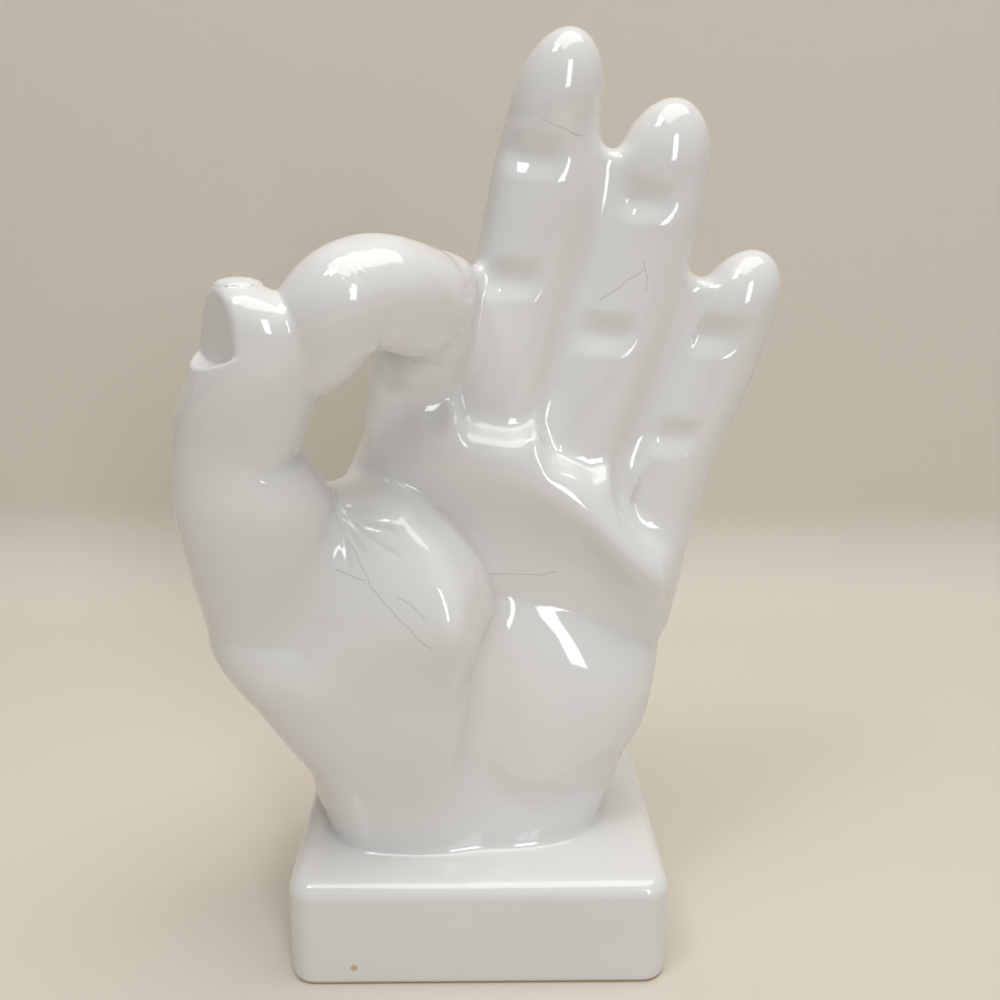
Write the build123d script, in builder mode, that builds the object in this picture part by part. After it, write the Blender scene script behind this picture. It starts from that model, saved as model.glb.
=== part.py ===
from build123d import *
from math import cos, radians, sin
import os

os.makedirs("parts", exist_ok=True)

# A hollow ceramic hand on a plinth, making a ring of thumb and index finger.
# Millimetres, +Z up, the palm faces -Y, origin under the middle of the plinth.
# Seven slip-cast sections are luted together face to face before glazing.

# the cast walls and the plinth
wall = 5.0
finger_wall = 4.0
plinth_width = 103.5
plinth_depth = 76.0
plinth_height = 31.0
plinth_wall = 6.0
plinth_corner = 7.0
plinth_top_edge = 4.5
plinth_foot_edge = 2.0
pour_hole = 18.0
pour_hole_shift = 20.0
collar_rise = 3.0
collar_sweep = 4.5

# the palm, from its foot on the collar up to the roots of the fingers
palm_length = 122.0
palm_breadth = 100.0
palm_thickness = 40.0
deck = 6.0
vent = 8.0

# each ray: where its bone starts, how far its last full section rises, and its fullest breadth
index_rise, index_breadth = 50.0, 27.2
index_end_breadth, index_tip = 24.8, 10.0
middle_rise, middle_breadth, middle_tip = 91.0, 28.2, 20.0
ring_rise, ring_breadth, ring_tip = 87.0, 27.4, 19.0
little_rise, little_breadth, little_tip = 68.4, 24.8, 17.5
thumb_rise, thumb_breadth, thumb_tip = 150.0, 68.4, 19.0

# palm levels: height, left, right, back, then the front at the thumb side, middle and heel side
palm_shares = [
    (0.00, -0.435, 0.365, 0.58, -0.52, -0.56, -0.50),
    (0.06, -0.465, 0.390, 0.57, -0.55, -0.56, -0.47),
    (0.14, -0.470, 0.423, 0.52, -0.54, -0.57, -0.53),
    (0.27, -0.470, 0.482, 0.47, -0.47, -0.54, -0.52),
    (0.41, -0.460, 0.522, 0.45, -0.42, -0.48, -0.47),
    (0.48, -0.450, 0.538, 0.45, -0.38, -0.41, -0.40),
    (0.55, -0.440, 0.555, 0.45, -0.34, -0.30, -0.27),
    (0.69, -0.430, 0.575, 0.43, -0.30, -0.28, -0.25),
    (0.81, -0.405, 0.540, 0.43, -0.33, -0.31, -0.28),
    (0.91, -0.335, 0.500, 0.41, -0.34, -0.33, -0.30),
    (1.00, -0.310, 0.460, 0.38, -0.33, -0.31, -0.30),
]
# where the palm's outline turns its corners, and how far back those corners stand
flank_share, shoulder_share = 0.16, 0.92

# ray roots as shares of the palm's breadth, thickness and length
index_root_shares = (-0.209, 0.00, 0.831)
middle_root_shares = (0.032, 0.03, 0.828)
ring_root_shares = (0.253, 0.05, 0.746)
little_root_shares = (0.453, 0.08, 0.611)
thumb_root_shares = (-0.235, -0.17, -0.110)

# stations along each ray: across, away and up as shares of its rise, then breadth and depth
# as shares of its fullest breadth
middle_shares = [
    (0.000, 0.000, 0.000, 0.82, 0.78),
    (0.007, 0.011, 0.140, 0.86, 0.82),
    (0.048, 0.033, 0.389, 0.94, 0.89),
    (0.084, 0.044, 0.560, 0.96, 0.91),
    (0.130, 0.044, 0.780, 1.00, 0.94),
    (0.149, 0.033, 0.916, 0.95, 0.89),
    (0.162, 0.011, 1.000, 0.87, 0.82),
]
ring_shares = [
    (0.000, 0.000, 0.000, 0.75, 0.75),
    (0.022, 0.011, 0.161, 0.85, 0.82),
    (0.052, 0.023, 0.306, 0.93, 0.89),
    (0.100, 0.034, 0.492, 0.99, 0.92),
    (0.145, 0.046, 0.644, 1.00, 0.93),
    (0.189, 0.046, 0.793, 0.97, 0.91),
    (0.224, 0.034, 0.952, 0.93, 0.87),
    (0.230, 0.029, 1.000, 0.90, 0.84),
]
little_shares = [
    (0.000, 0.000, 0.000, 0.78, 0.78),
    (0.042, 0.015, 0.192, 0.89, 0.86),
    (0.096, 0.029, 0.443, 0.99, 0.94),
    (0.186, 0.044, 0.667, 1.00, 0.95),
    (0.262, 0.044, 0.867, 0.98, 0.93),
    (0.307, 0.029, 1.000, 0.95, 0.89),
]
index_shares = [
    (0.000, 0.000, 0.000, 0.85, 0.83),
    (0.026, 0.000, 0.278, 0.93, 0.90),
    (0.102, -0.080, 0.572, 0.97, 0.93),
    (0.175, -0.240, 0.780, 0.98, 0.95),
    (0.080, -0.470, 0.930, 0.97, 0.95),
    (-0.086, -0.650, 0.985, 0.92, 0.90),
]
# where the end phalanx starts, from the index finger's knuckle, as shares of its rise, and where it
# ends on the thumb, from the thumb's last full section, as shares of that section
index_joint_shares = (-0.14, -0.71, 0.00)
index_seat_shares = (1.26, -0.15, 0.28)
# the end phalanx: how far from its joint to its seat, then breadth and depth
index_end_shares = [
    (0.00, 1.00, 0.98),
    (0.33, 1.00, 0.96),
    (0.67, 0.99, 0.94),
    (1.00, 0.95, 0.90),
]
thumb_shares = [
    (0.000, 0.000, 0.000, 0.50, 0.44),
    (-0.010, 0.000, 0.102, 0.54, 0.48),
    (-0.038, -0.007, 0.229, 0.70, 0.57),
    (-0.083, -0.020, 0.375, 0.91, 0.66),
    (-0.120, -0.040, 0.515, 1.00, 0.66),
    (-0.168, -0.073, 0.628, 0.82, 0.58),
    (-0.220, -0.113, 0.727, 0.59, 0.50),
    (-0.236, -0.140, 0.820, 0.44, 0.43),
    (-0.223, -0.173, 0.914, 0.42, 0.39),
    (-0.198, -0.193, 1.000, 0.38, 0.35),
]
# how far apart the sections of a ray stand
section_gap = 8.0

# how a fingertip closes: degrees round its dome
dome_angles = (25, 45, 62, 76, 85)

# the way each ray's broad side lies
straight_side = Vector(1, 0, 0)
curled_side = Vector(0.89, -0.45, 0)

collar_top = plinth_height + collar_rise
palm_top = collar_top + palm_length
seam_reach = 2 * palm_top


def placed(shares):
    across, away, up = shares
    return Vector(across * palm_breadth, away * palm_thickness, collar_top + up * palm_length)


def dome(start, heading, reach, half, half_deep):
    """Stations that close a ray with a rounded end of the given reach."""
    turns = [(sin(radians(angle)), cos(radians(angle))) for angle in dome_angles]
    return [(start + heading * reach * far, half * near, half_deep * near) for far, near in turns]


def evenly(stations):
    """The same run of stations, smoothly filled in so that they stand about a section gap apart."""
    lengths = [0.0]
    for (here, _, _), (there, _, _) in zip(stations, stations[1:]):
        lengths.append(lengths[-1] + (there - here).length)
    count = max(2, round(lengths[-1] / section_gap))
    spread = []
    for step in range(count + 1):
        travel = lengths[-1] * step / count
        left = max(i for i in range(len(stations) - 1) if lengths[i] <= travel)
        near, far = max(left - 1, 0), min(left + 2, len(stations) - 1)
        run = lengths[left + 1] - lengths[left]
        t = (travel - lengths[left]) / run
        lean_here = run / (lengths[left + 1] - lengths[near])
        lean_there = run / (lengths[far] - lengths[left])
        mixed = []
        for here, there, prior, later in zip(*(stations[i] for i in (left, left + 1, near, far))):
            slope_here, slope_there = (there - prior) * lean_here, (later - here) * lean_there
            settled = here * (2 * t**3 - 3 * t**2 + 1) + there * (3 * t**2 - 2 * t**3)
            mixed.append(settled + slope_here * (t**3 - 2 * t**2 + t) + slope_there * (t**3 - t**2))
        spread.append(tuple(mixed))
    return spread


def risen(root, rise, shares):
    """A ray's course: its middles, and its half sizes as shares of its breadth."""
    return [(root + Vector(x, y, z) * rise, across, deep) for x, y, z, across, deep in shares]


def between(start, end, shares):
    return [(start + (end - start) * travel, across, deep) for travel, across, deep in shares]


def stations_of(course, breadth, tip, inset, heel=0):
    """Middles and half sizes along a ray, closed by the dome of its tip and, with a heel, at its start."""
    girth = breadth / 2
    stations = evenly([
        (centre, girth * across - inset, girth * deep - inset) for centre, across, deep in course
    ])
    last, half, half_deep = stations[-1]
    heading = (last - stations[-2][0]).normalized()
    stations += dome(last, heading, tip - inset, half, half_deep)
    if heel:
        first, half, half_deep = stations[0]
        heading = (first - stations[1][0]).normalized()
        stations = dome(first, heading, heel - inset, half, half_deep)[::-1] + stations
    return stations


def oval(half_across, half_deep, count=12):
    """Points of an oval section about its middle."""
    turns = [radians(360 / count * step) for step in range(count)]
    return [(half_across * cos(turn), half_deep * sin(turn)) for turn in turns]


def ray_solid(stations, side):
    """Loft the oval sections that stand square to the ray."""
    centres = [centre for centre, _, _ in stations]
    with BuildPart() as ray:
        for step, (centre, half, half_deep) in enumerate(stations):
            before, after = centres[max(step - 1, 0)], centres[min(step + 1, len(centres) - 1)]
            heading = (after - before).normalized()
            level = side - heading * side.dot(heading)
            with BuildSketch(Plane(origin=centre, x_dir=level, z_dir=heading)):
                with BuildLine():
                    Spline(*oval(half, half_deep), periodic=True)
                make_face()
        loft()
    return ray.part


def palm_outline(row, grow):
    """Eight points round one level of the palm, grown outwards or, if negative, inwards."""
    _, left, right, back, front_thumb, front, front_heel = row
    left, right = left * palm_breadth - grow, right * palm_breadth + grow
    back = back * palm_thickness + grow
    front_thumb, front, front_heel = (y * palm_thickness - grow for y in (front_thumb, front, front_heel))
    flank = flank_share * (right - left)
    return [
        (left, (back + front_thumb) / 2),
        (left + flank, front_thumb),
        ((left + right) / 2, front),
        (right - flank, front_heel),
        (right, (back + front_heel) / 2),
        (right - flank, shoulder_share * back),
        ((left + right) / 2, back),
        (left + flank, shoulder_share * back),
    ]


def palm_slab(grow):
    with BuildPart() as slab:
        for row in palm_shares:
            with BuildSketch(Plane.XY.offset(collar_top + row[0] * palm_length)):
                with BuildLine():
                    Spline(*palm_outline(row, grow), periodic=True)
                make_face()
        loft()
    return slab.part


def seam_block(corners):
    """Everything within a seam line drawn on the palm's face, right through the hand."""
    with BuildPart() as block:
        with BuildSketch(Plane.XZ):
            with BuildLine():
                Polyline(*corners, close=True)
            make_face()
        extrude(amount=seam_reach, both=True)
    return block.part


def at_height(stations, height):
    """A ray's middle and half breadth at one height, between its stations."""
    for (low, half_low, _), (high, half_high, _) in zip(stations, stations[1:]):
        if low.Z <= height <= high.Z:
            part = (height - low.Z) / (high.Z - low.Z)
            return low.X + part * (high.X - low.X), half_low + part * (half_high - half_low)
    last, half, _ = stations[-1] if height > stations[-1][0].Z else stations[0]
    return last.X, half


def halfway(left_ray, right_ray, height):
    """The point where two neighbouring fingers touch at one height."""
    left, left_half = at_height(left_ray, height)
    right, right_half = at_height(right_ray, height)
    return Vector((left + left_half + right - right_half) / 2, height)


def beyond(start, towards, reach):
    return start + (towards - start).normalized() * reach


def out_to(start, towards, across):
    """The seam carried on until it is clear of the hand."""
    return start + (towards - start) * ((across - start.X) / (towards.X - start.X))


def rays(inset):
    """The outer rays at inset zero, or the hollows inside them."""
    middle, ring, little, index, thumb = (
        placed(shares)
        for shares in (
            middle_root_shares, ring_root_shares, little_root_shares, index_root_shares, thumb_root_shares
        )
    )
    joint = index_breadth / 2
    thumb_course = risen(thumb, thumb_rise, thumb_shares)
    thumb_end, thumb_half, _ = thumb_course[-1]
    seat = thumb_end + Vector(*index_seat_shares) * thumb_half * thumb_breadth / 2
    bend = index + Vector(0, 0, index_rise) + Vector(*index_joint_shares) * index_rise
    index_end = between(bend, seat, index_end_shares)
    return (
        stations_of(risen(middle, middle_rise, middle_shares), middle_breadth, middle_tip, inset),
        stations_of(risen(ring, ring_rise, ring_shares), ring_breadth, ring_tip, inset),
        stations_of(risen(little, little_rise, little_shares), little_breadth, little_tip, inset),
        stations_of(risen(index, index_rise, index_shares), index_breadth, joint, inset),
        stations_of(index_end, index_end_breadth, index_tip, inset, joint),
        stations_of(thumb_course, thumb_breadth, thumb_tip, inset),
    )


middle_ray, ring_ray, little_ray, index_ray, index_end_ray, thumb_ray = rays(0)
middle_bore, ring_bore, little_bore, index_bore, index_end_bore, thumb_bore = rays(finger_wall)
thumb_skin = rays(-finger_wall)[-1]

# the seams, as a map on the palm's face: where neighbouring fingers meet low down and high up
index_web_share, middle_web_share, ring_web_share = 0.967, 0.911, 0.817
index_notch_share, flank_height_share, index_top_share = 0.78, 0.28, 0.63
index_web_height = collar_top + index_web_share * palm_length
middle_web_height = collar_top + middle_web_share * palm_length
ring_web_height = collar_top + ring_web_share * palm_length
index_web = halfway(index_ray, middle_ray, index_web_height)
middle_web = halfway(middle_ray, ring_ray, middle_web_height)
ring_web = halfway(ring_ray, little_ray, ring_web_height)
index_flank = halfway(index_ray, middle_ray, index_web_height + flank_height_share * index_rise)
index_notch = beyond(index_web, index_flank, index_notch_share * index_rise)
middle_notch = halfway(middle_ray, ring_ray, ring_ray[-1][0].Z - ring_tip)
ring_notch = halfway(ring_ray, little_ray, little_ray[-1][0].Z - little_tip)

# where the outer seams run off the hand, and the foot of the finger ring's opening
index_edge_shares = (-0.36, 0.953)
ring_foot_shares = (-0.413, 0.811)
thumb_edge_shares = (-0.80, 0.590)
little_edge_shares = (0.66, 0.610)


def on_face(shares):
    return Vector(shares[0] * palm_breadth, collar_top + shares[1] * palm_length)


index_edge, ring_foot = on_face(index_edge_shares), on_face(ring_foot_shares)
thumb_edge, little_edge = on_face(thumb_edge_shares), on_face(little_edge_shares)
middle_top = beyond(middle_web, middle_notch, seam_reach)
ring_top = beyond(ring_web, ring_notch, seam_reach)
thumb_far = out_to(ring_foot, thumb_edge, -palm_breadth)
little_far = out_to(ring_web, little_edge, palm_breadth)
index_top = Vector(index_top_share * thumb_far.X, index_notch.Y + palm_length)
far_left = Vector(thumb_far.X, index_top.Y)
far_side = palm_breadth + ring_top.X
far_right = [Vector(far_side, little_far.Y), Vector(far_side, ring_top.Y)]
root_line = [thumb_far, ring_foot, index_edge, index_web, middle_web, ring_web, little_far]


def palm_zone(drop):
    lowered = [corner - Vector(0, drop) for corner in root_line]
    foot = collar_top
    return seam_block(lowered + [Vector(lowered[-1].X, foot), Vector(lowered[0].X, foot)])


vent_reach = 0.25 * palm_length
thumb_vent_ray = [station for station in thumb_ray if station[0].Z > ring_foot.Y - 2 * vent]

# sections of the hand
middle_outer = ray_solid(middle_ray, straight_side)
middle_hollow = ray_solid(middle_bore, straight_side)
ring_outer = ray_solid(ring_ray, straight_side)
ring_hollow = ray_solid(ring_bore, straight_side)
little_outer = ray_solid(little_ray, straight_side)
little_hollow = ray_solid(little_bore, straight_side)
index_outer = ray_solid(index_ray, curled_side)
index_hollow = ray_solid(index_bore, curled_side)
index_end_outer = ray_solid(index_end_ray, curled_side)
index_end_hollow = ray_solid(index_end_bore, curled_side)
thumb_outer = ray_solid(thumb_ray, straight_side)
thumb_hollow = ray_solid(thumb_bore, straight_side)
thumb_grown = ray_solid(thumb_skin, straight_side)
palm_outer = palm_slab(0)
palm_hollow = palm_slab(-wall)
thumb_zone = seam_block([ring_foot, thumb_far, far_left, index_top, index_edge])
index_zone = seam_block([index_edge, index_web, index_notch, index_top, far_left, thumb_far])
middle_zone = seam_block([index_web, middle_web, middle_top, index_top, index_notch])
ring_zone = seam_block([middle_web, ring_web, ring_top, middle_top])
little_zone = seam_block([ring_web, little_far, *far_right, ring_top])

with BuildPart() as middle_finger:
    add(middle_outer)
    add(middle_zone, mode=Mode.INTERSECT)
    add(middle_hollow, mode=Mode.SUBTRACT)

with BuildPart() as ring_finger:
    add(ring_outer)
    add(ring_zone, mode=Mode.INTERSECT)
    add(ring_hollow, mode=Mode.SUBTRACT)

with BuildPart() as little_finger:
    add(little_outer)
    add(little_zone, mode=Mode.INTERSECT)
    add(little_hollow, mode=Mode.SUBTRACT)

# the index finger's hollow stops a wall short of its seat on the thumb
with BuildPart() as index_core:
    add(index_hollow)
    add(index_end_hollow)
    add(thumb_grown, mode=Mode.SUBTRACT)

with BuildPart() as index_finger:
    add(index_outer)
    add(index_end_outer)
    add(index_zone, mode=Mode.INTERSECT)
    add(index_core.part, mode=Mode.SUBTRACT)
    add(thumb_outer, mode=Mode.SUBTRACT)

with BuildPart() as thumb:
    add(thumb_outer)
    add(thumb_zone, mode=Mode.INTERSECT)
    add(thumb_hollow, mode=Mode.SUBTRACT)

with BuildPart() as palm:
    add(palm_outer)
    add(thumb_outer)
    add(palm_zone(0), mode=Mode.INTERSECT)

with BuildPart() as palm_core:
    add(palm_hollow)
    add(thumb_hollow)
    add(palm_zone(deck), mode=Mode.INTERSECT)

# vents let the air of each hollow finger out through the palm's deck
with palm:
    add(palm_core.part, mode=Mode.SUBTRACT)
    for ray in (middle_ray, ring_ray, little_ray, index_ray, thumb_vent_ray):
        root, towards = ray[0][0], ray[1][0]
        with BuildSketch(Plane(origin=root, z_dir=towards - root)):
            Circle(vent / 2)
        extrude(amount=vent_reach, mode=Mode.SUBTRACT)

# the plinth: a rounded box with a collar that sweeps up to the wrist
with BuildPart() as plinth:
    with BuildSketch():
        RectangleRounded(plinth_width, plinth_depth, plinth_corner)
    extrude(amount=plinth_height)
    fillet(plinth.faces().sort_by(Axis.Z)[-1].edges(), plinth_top_edge)
    fillet(plinth.faces().sort_by(Axis.Z)[0].edges(), plinth_foot_edge)
    for angle in (0, 30, 60, 90):
        lift = collar_rise * (1 - cos(radians(angle)))
        spread = collar_sweep * (1 - sin(radians(angle)))
        with BuildSketch(Plane.XY.offset(plinth_height + lift)):
            with BuildLine():
                Spline(*palm_outline(palm_shares[0], spread), periodic=True)
            make_face()
    loft()
    with BuildSketch(Plane.XY.offset(plinth_wall)):
        RectangleRounded(plinth_width - 2 * plinth_wall, plinth_depth - 2 * plinth_wall, plinth_corner / 2)
    extrude(amount=plinth_height - 2 * plinth_wall, mode=Mode.SUBTRACT)
    with BuildSketch(Plane.XY.offset(plinth_height - plinth_wall)):
        with BuildLine():
            Spline(*palm_outline(palm_shares[0], -wall), periodic=True)
        make_face()
    extrude(amount=plinth_wall + collar_rise, mode=Mode.SUBTRACT)
    with BuildSketch():
        with Locations((pour_hole_shift, 0)):
            Circle(pour_hole / 2)
    extrude(amount=plinth_wall, mode=Mode.SUBTRACT)

pieces = {
    "plinth": plinth,
    "palm": palm,
    "thumb": thumb,
    "index_finger": index_finger,
    "middle_finger": middle_finger,
    "ring_finger": ring_finger,
    "little_finger": little_finger,
}
for name, piece in pieces.items():
    piece.part.label = name
    export_step(piece.part, f"parts/{name}.step")
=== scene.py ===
import math
import time

import bmesh
import bpy
import numpy as np
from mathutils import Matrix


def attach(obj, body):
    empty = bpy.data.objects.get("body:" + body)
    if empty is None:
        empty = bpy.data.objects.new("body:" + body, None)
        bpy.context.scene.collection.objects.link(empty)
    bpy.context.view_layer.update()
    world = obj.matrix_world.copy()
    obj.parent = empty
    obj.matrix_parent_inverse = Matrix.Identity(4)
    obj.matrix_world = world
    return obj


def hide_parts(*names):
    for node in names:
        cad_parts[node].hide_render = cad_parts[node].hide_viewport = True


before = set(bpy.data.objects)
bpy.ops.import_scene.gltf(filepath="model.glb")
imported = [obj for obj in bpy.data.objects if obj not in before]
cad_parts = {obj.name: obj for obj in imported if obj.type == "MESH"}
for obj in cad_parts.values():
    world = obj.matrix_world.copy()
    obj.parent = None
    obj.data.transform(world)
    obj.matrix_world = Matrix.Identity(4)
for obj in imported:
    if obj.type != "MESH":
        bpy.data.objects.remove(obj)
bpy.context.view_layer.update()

import openvdb as vdb
from mathutils import Matrix, Vector
from mathutils.geometry import delaunay_2d_cdt

began = time.time()
mm = 0.001  # the shape is worked out in millimetres and made in metres


def say(text):
    print(f"{time.time() - began:6.1f} s  {text}")


# small tools of the sculpting

def ramp(low, high, value):  # 0 before low, 1 after high, smooth between; low may lie above high
    t = np.clip((value - low) / (high - low), 0, 1)
    return t * t * (3 - 2 * t)


def bell(value, middle, half):
    return np.exp(-((value - middle) / half) ** 2)


def melt(a, b, width):  # joins two bodies with a soft fillet
    h = np.clip(0.5 + 0.5 * (b - a) / width, 0, 1)
    return b + (a - b) * h - width * h * (1 - h)


def trim(a, b, width):  # keeps what lies in both bodies, with a soft edge
    return -melt(-a, -b, width)


def splineThrough(rows):
    # a natural cubic spline down the first column, sampled finely enough to look smooth
    rows = np.array(rows, float)
    t, y = rows[:, 0], rows[:, 1:]
    n, h = len(t), np.diff(rows[:, 0])
    a, r = np.eye(n), np.zeros_like(y)
    for i in range(1, n - 1):
        a[i, i - 1:i + 2] = h[i - 1], 2 * (h[i - 1] + h[i]), h[i]
        r[i] = 6 * ((y[i + 1] - y[i]) / h[i] - (y[i] - y[i - 1]) / h[i - 1])
    m = np.linalg.solve(a, r)
    s = np.arange(t[0], t[-1] + 0.05, 0.1)
    k = np.clip(np.searchsorted(t, s) - 1, 0, n - 2)
    u, v = ((t[k + 1] - s) / h[k])[:, None], ((s - t[k]) / h[k])[:, None]
    hk = h[k][:, None]
    values = u * y[k] + v * y[k + 1] + ((u ** 3 - u) * m[k] + (v ** 3 - v) * m[k + 1]) * hk ** 2 / 6
    return lambda where: [np.interp(where, s, column) for column in values.T]


def roundish(u, v, w, a, b, c, power):
    # nearly the distance to an ellipsoid of half sizes a, b, c, from shares of them
    full = (abs(u) ** power + abs(v) ** power + abs(w) ** power) ** (1 / power)
    k0 = np.sqrt(u * u + v * v + w * w) + 1e-6
    k1 = np.sqrt((u / a) ** 2 + (v / b) ** 2 + (w / c) ** 2) + 1e-6
    return (full - 1) * k0 / k1


def limb(x, y, z, shape):
    # a body read level by level: height, left, right, front, back, and a rounded end of its own reach
    foot, top, tip, lean = shape["levels"][0][0], shape["levels"][-1][0], shape["tip"], shape["lean"]
    above, below = np.maximum(z - top, 0), np.maximum(foot - z, 0)
    left, right, front, back = shape["read"](z)
    a, b = (right - left) / 2, (back - front) / 2
    u = (x - (left + right) / 2 - lean[0] * above) / a
    v = (y - (front + back) / 2 - lean[1] * above) / b
    power = 2 + (shape["power"] - 2) * ramp(top, top - 20, z)
    return roundish(u, v, above / tip + below / shape["heel"], a, b, tip, power), u, v


def crease(s, rise, fall):
    # a skin fold seen from the side: it sinks slowly towards the fold and steps out sharply below it
    return np.where(s > 0, 1 - ramp(0, rise, s), 1 - ramp(0, fall, -s))


# the fingers: levels give height, left, right, front and back in mm

middleFinger = {
    "levels": [
        (110, -8.5, 14.0, -10.0, 13.0), (135, -8.3, 14.7, -10.0, 12.5), (147.7, -8.3, 15.9, -9.6, 13.6),
        (170.4, -5.7, 20.9, -8.6, 16.6), (186, -2.7, 24.3, -7.8, 17.8), (206, 0.9, 28.9, -8.2, 18.2),
        (218.4, 3.5, 29.6, -8.5, 16.5), (226, 5.7, 29.4, -9.5, 13.5),
    ],
    "heel": 8.0, "tip": 20.0, "lean": (0.15, -0.20), "power": 2.5,
    "folds": [(216.4, 1.9, 0.50), (187.0, 1.9, 0.48)],  # height, depth and half breadth as a share
    "nail": (231.5, 9.0),  # height and half length
}
ringFinger = {
    "levels": [
        (105, 13.0, 33.0, -8.0, 12.0), (125, 15.0, 35.6, -8.3, 12.3), (139, 15.5, 38.9, -8.3, 14.3),
        (151.6, 17.0, 42.6, -8.2, 16.2), (167.8, 20.5, 47.5, -7.6, 17.6), (181, 24.2, 51.6, -6.8, 18.8),
        (194, 28.4, 55.0, -6.4, 18.4), (207.8, 32.0, 57.6, -6.9, 16.9), (212, 32.9, 57.7, -7.0, 16.0),
    ],
    "heel": 8.0, "tip": 19.0, "lean": (0.12, -0.12), "power": 2.5,
    "folds": [(206.3, 1.7, 0.52), (173.3, 1.9, 0.50)], "nail": (217.5, 8.6),
}
littleFinger = {
    "levels": [
        (95, 34.0, 53.0, -7.0, 11.0), (108.6, 35.6, 55.0, -6.7, 12.7), (121.7, 37.2, 59.2, -6.7, 14.7),
        (138.9, 39.6, 64.2, -6.7, 16.7), (154.2, 45.6, 70.4, -5.8, 17.8), (167.9, 51.0, 75.4, -5.5, 17.5),
        (177, 54.5, 78.1, -6.0, 16.0),
    ],
    "heel": 8.0, "tip": 17.5, "lean": (0.25, -0.1), "power": 2.5,
    "folds": [(172.8, 1.6, 0.48), (146.2, 1.7, 0.48)], "nail": (182.5, 7.8),
}
fingerSkin = {  # shared by the three straight fingers: mm, or shares of a finger's half breadth
    "front": (0.0, -0.6), "back": (0.0, 0.6), "bow": 1.6, "rise": 6.0, "fall": 6.5, "middle": -0.3,
    "jointLines": [(3, 1.0), (5.8, 0.7), (0.4, 0.7)],  # over each joint, behind: height and strength
    "lineDepth": 0.35, "lineHalf": 0.9, "lineReach": 0.6,
    "nailHalf": 0.56, "nailRim": (0.5, 0.13), "nailSunk": (0.35, 1.05, 0.95), "melt": 7.0,
}
fingerWebs = {  # the clay behind the grooves; the plates run on down inside the palm, out through the base
    "lines": [((-7.2, 151.5), (-2.0, 188)), ((13.7, 147), (31.6, 217.5)), ((35.3, 134), (54.0, 187.5))],
    "half": 5.0, "middle": 5.0, "deep": 6.5, "rootMore": 3.5, "rootReach": 16, "topEdge": 4.0, "melt": 4.5,
}
thumbRay = {
    "levels": [
        (98, -72.0, -44, -32, 5), (112, -74.2, -38.5, -37, 2), (120, -74.9, -36.8, -39.5, -1),
        (128, -75.4, -36.4, -41.5, -5), (136, -75.0, -37.4, -42.8, -10.5),
        (142, -74.2, -40.0, -43.0, -13.8), (147, -73.3, -42.6, -43.4, -16.5),
        (152, -72.2, -41.8, -44.6, -18.5), (157, -70.9, -39.9, -46.4, -19.8),
        (163, -68.4, -37.9, -48.0, -21.0), (169, -66.0, -36.8, -48.7, -22.3),
        (175, -64.2, -36.8, -48.5, -24.2), (179, -62.9, -37.8, -48.2, -25.3),
        (182, -61.9, -40.2, -47.3, -27.3), (184.5, -60.8, -44.2, -45.6, -29.6),
        (186.5, -59.4, -48.5, -43.0, -32.0),
    ],
    "heel": 14.0, "tip": 2.0, "lean": (0.0, 0.0), "power": 2.15,
    "nail": {  # a flat facet, cut off below by the nail fold
        "point": (-63.3, -35.5), "facing": (-0.77, -0.63), "fold": 169.4, "curl": 0.03, "shift": 7,
        "foldEdge": 1.2, "edge": 1.0,
    },
    "fold": {
        "across": (-54.0, -42.5), "front": (-20, -34), "up": 147.3, "drop": 0.32, "depth": 1.0, "soft": 3.0,
    },
}
indexFinger = {
    "levels": [  # the first phalanx
        (112, -32.5, -9.5, -9.0, 13.0), (135, -31.5, -8.5, -9.3, 12.8), (150, -30.4, -7.0, -9.6, 13.0),
        (158, -30.0, -6.4, -9.9, 13.2), (166, -29.4, -5.2, -10.8, 12.6), (171, -27.8, -4.0, -12.5, 11.0),
    ],
    "heel": 8.0, "tip": 8.0, "lean": (0.3, -0.4), "power": 3.0,
    "line": [  # the bent part: x, y, z and radius
        (-15.4, -2.5, 168.0, 12.2), (-11.0, -7.5, 177.6, 14.2), (-14.6, -18.0, 181.4, 13.6),
        (-20.6, -27.5, 184.2, 13.1), (-28.4, -33.8, 184.4, 12.9), (-34.2, -34.6, 180.2, 12.5),
        (-38.4, -32.4, 174.2, 11.6), (-42.6, -30.0, 169.0, 9.5),
    ],
    "folds": [(43.5, 0.8, 2.6), (21.0, 1.2, 4.0)],  # how far along the line, depth and half breadth
    "foldFacing": (-0.2, 0.5), "melt": 3.0,
    "flank": {"point": (-5.8, 151.5), "facing": (0.992, -0.128), "edge": 4.0},  # beside the middle finger
}

# the palm and its mounds

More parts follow.
